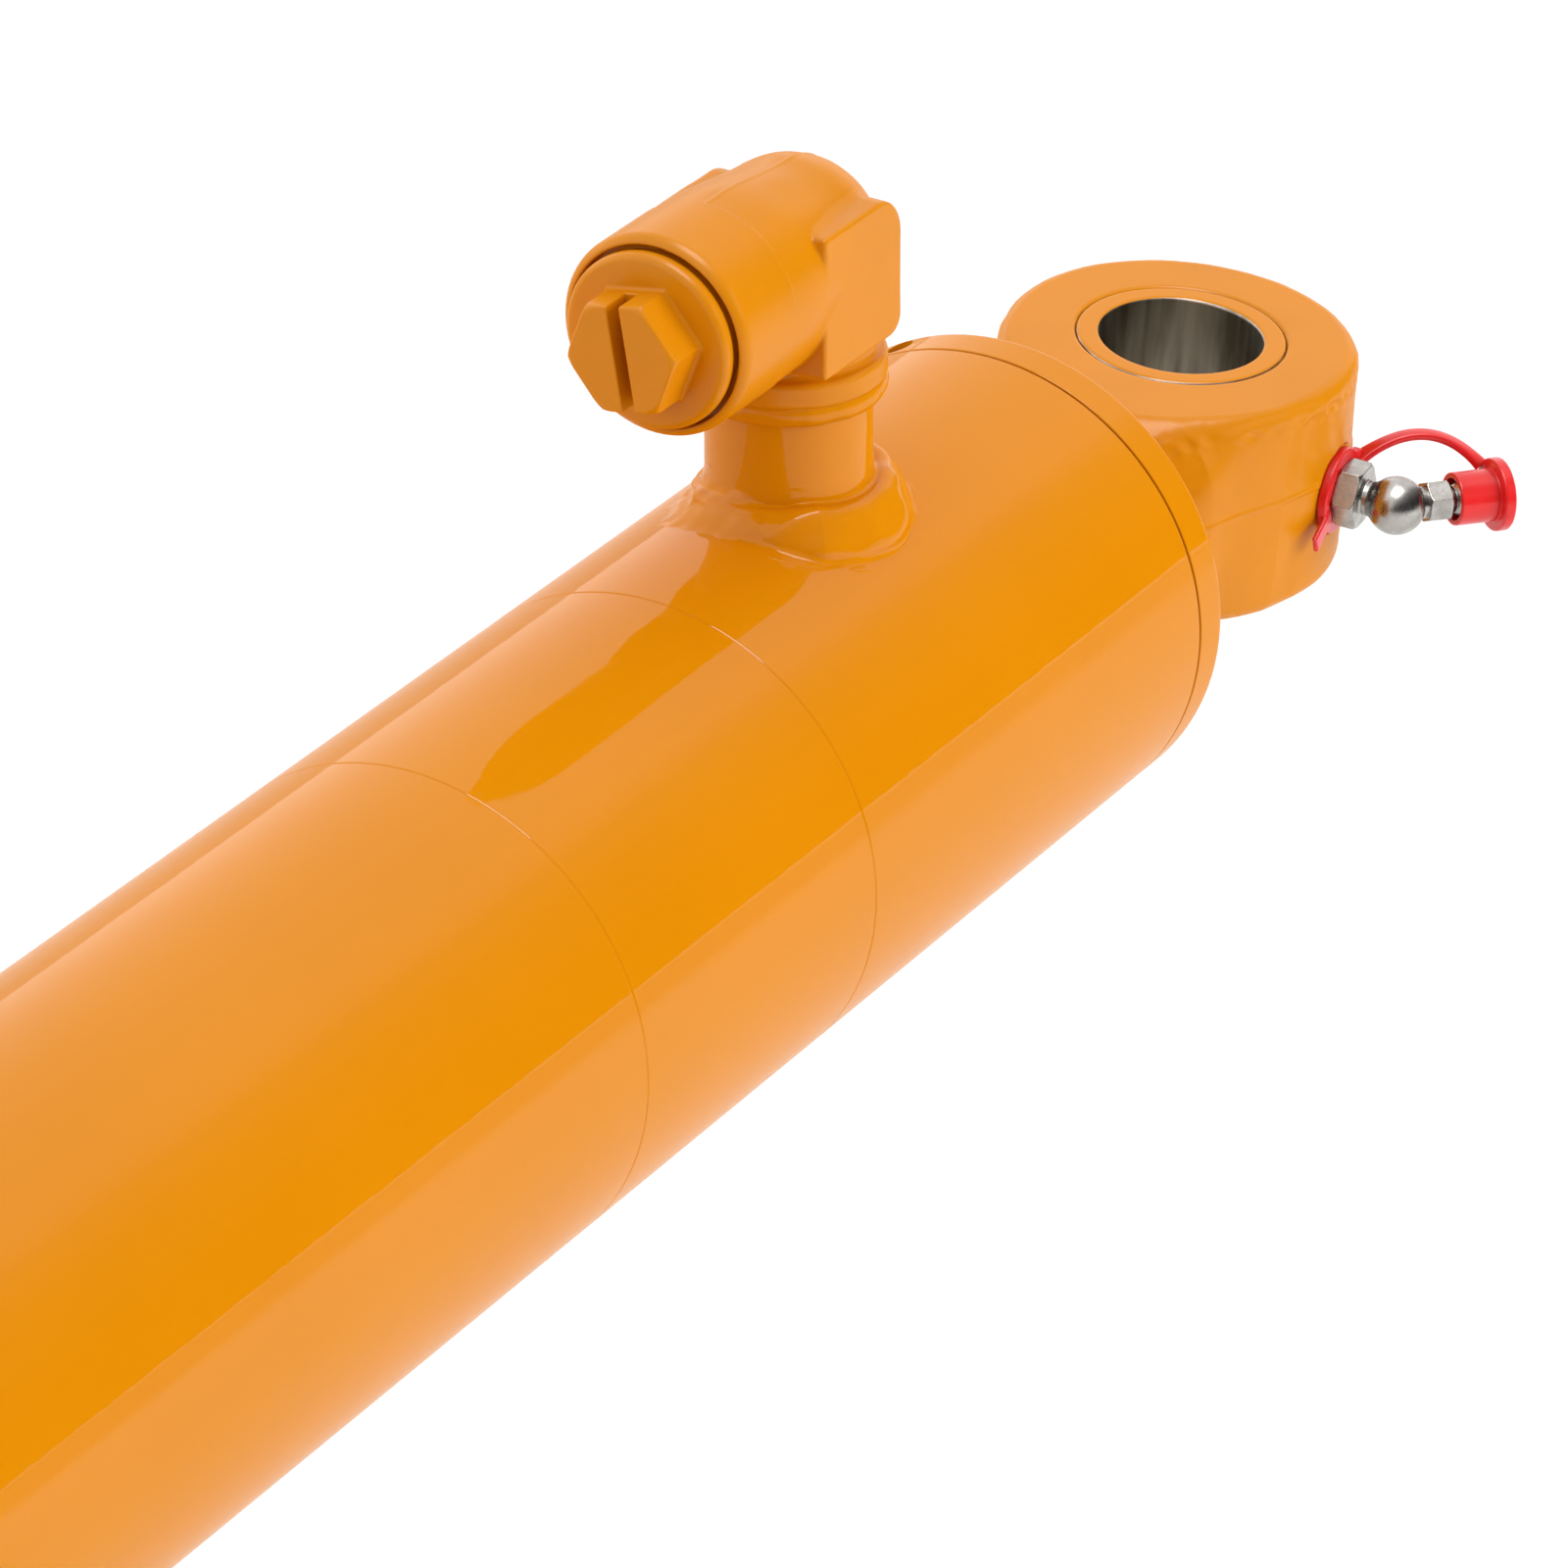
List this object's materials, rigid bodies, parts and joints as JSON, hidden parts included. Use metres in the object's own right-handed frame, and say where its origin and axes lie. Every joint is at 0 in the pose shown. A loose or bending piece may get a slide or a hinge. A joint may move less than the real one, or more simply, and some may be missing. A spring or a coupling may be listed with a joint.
{
  "type": "hydraulic cylinder",
  "caption": "Double-acting hydraulic cylinder with a bushed pin eye at each end, plugged elbow ports and angled grease fittings with tethered caps.",
  "frame": {"origin": "centre of the base eye's bore", "axes": "+X runs along the barrel to the rod eye, +Z along both pin bores, on the side the ports stand"},
  "size_m": [0.8162, 0.1078, 0.1526],
  "materials": {
    "paint": "thick glossy yellow-orange enamel over welded steel",
    "bush_steel": "ground bore, ends painted over",
    "bright_steel": "turned and zinc plated",
    "hard_chrome": "ground and polished hard chrome",
    "black_steel": "black oxide",
    "piston_iron": "turned",
    "bronze": "rolled bronze-backed bush",
    "black_rubber": "nitrile",
    "blue_polyurethane": "polyurethane",
    "green_polyurethane": "polyurethane",
    "filled_ptfe": "filled PTFE",
    "guide_strip": "fabric-filled resin",
    "red_plastic": "glossy flexible plastic"
  },
  "bodies": {
    "barrel": {"barrel_tube": "paint", "barrel_head": "paint", "base_cap": "paint", "base_cap_weld": "paint", "base_eye": "paint", "base_eye_weld": "paint", "base_eye_bush": "bush_steel", "gland": "paint", "gland_oring": "black_rubber", "gland_backup_ring": "filled_ptfe", "rod_bushing": "bronze", "rod_seal": "blue_polyurethane", "buffer_seal": "green_polyurethane", "wiper": "black_rubber", "rod_port_riser": "paint", "rod_port_weld": "paint", "rod_port_elbow": "paint", "rod_port_collar_weld": "paint", "rod_port_plug": "paint", "rod_port_plug_oring": "black_rubber", "base_port_riser": "paint", "base_port_weld": "paint", "base_port_elbow": "paint", "base_port_collar_weld": "paint", "base_port_plug": "paint", "base_port_plug_oring": "black_rubber", "base_grease_adaptor": "bright_steel", "base_grease_nipple": "bright_steel", "base_grease_ring": "red_plastic", "base_grease_strap": "red_plastic"},
    "ring_pack": {"piston_seal": "filled_ptfe", "seal_energizer": "black_rubber", "wear_rings": "guide_strip"},
    "rod_assembly": {"rod": "hard_chrome", "piston": "piston_iron", "piston_oring": "black_rubber", "piston_nut": "black_steel", "nut_set_screw": "black_steel", "rod_eye": "paint", "rod_eye_weld": "paint", "rod_eye_bush": "bush_steel", "rod_grease_adaptor": "bright_steel", "rod_grease_nipple": "bright_steel", "rod_grease_ring": "red_plastic", "rod_grease_strap": "red_plastic"},
    "rod_fitting_cap": {"rod_grease_cap": "red_plastic"},
    "base_fitting_cap": {"base_grease_cap": "red_plastic"}
  },
  "joints": [
    {"name": "rod_slide", "type": "slide", "parent": "barrel", "child": "ring_pack", "axis": [1, 0, 0], "range_m": [0, 0.455]},
    {"name": "rod_turn", "type": "hinge", "parent": "ring_pack", "child": "rod_assembly", "pos_m": [0.1235, 0, 0], "axis": [1, 0, 0], "continuous": true},
    {"name": "rod_cap_pull", "type": "slide", "parent": "rod_assembly", "child": "rod_fitting_cap", "axis": [0.7771, -0.6293, 0], "range_m": [0, 0.012]},
    {"name": "base_cap_pull", "type": "slide", "parent": "barrel", "child": "base_fitting_cap", "axis": [-0.7771, -0.6293, 0], "range_m": [0, 0.012]}
  ]
}
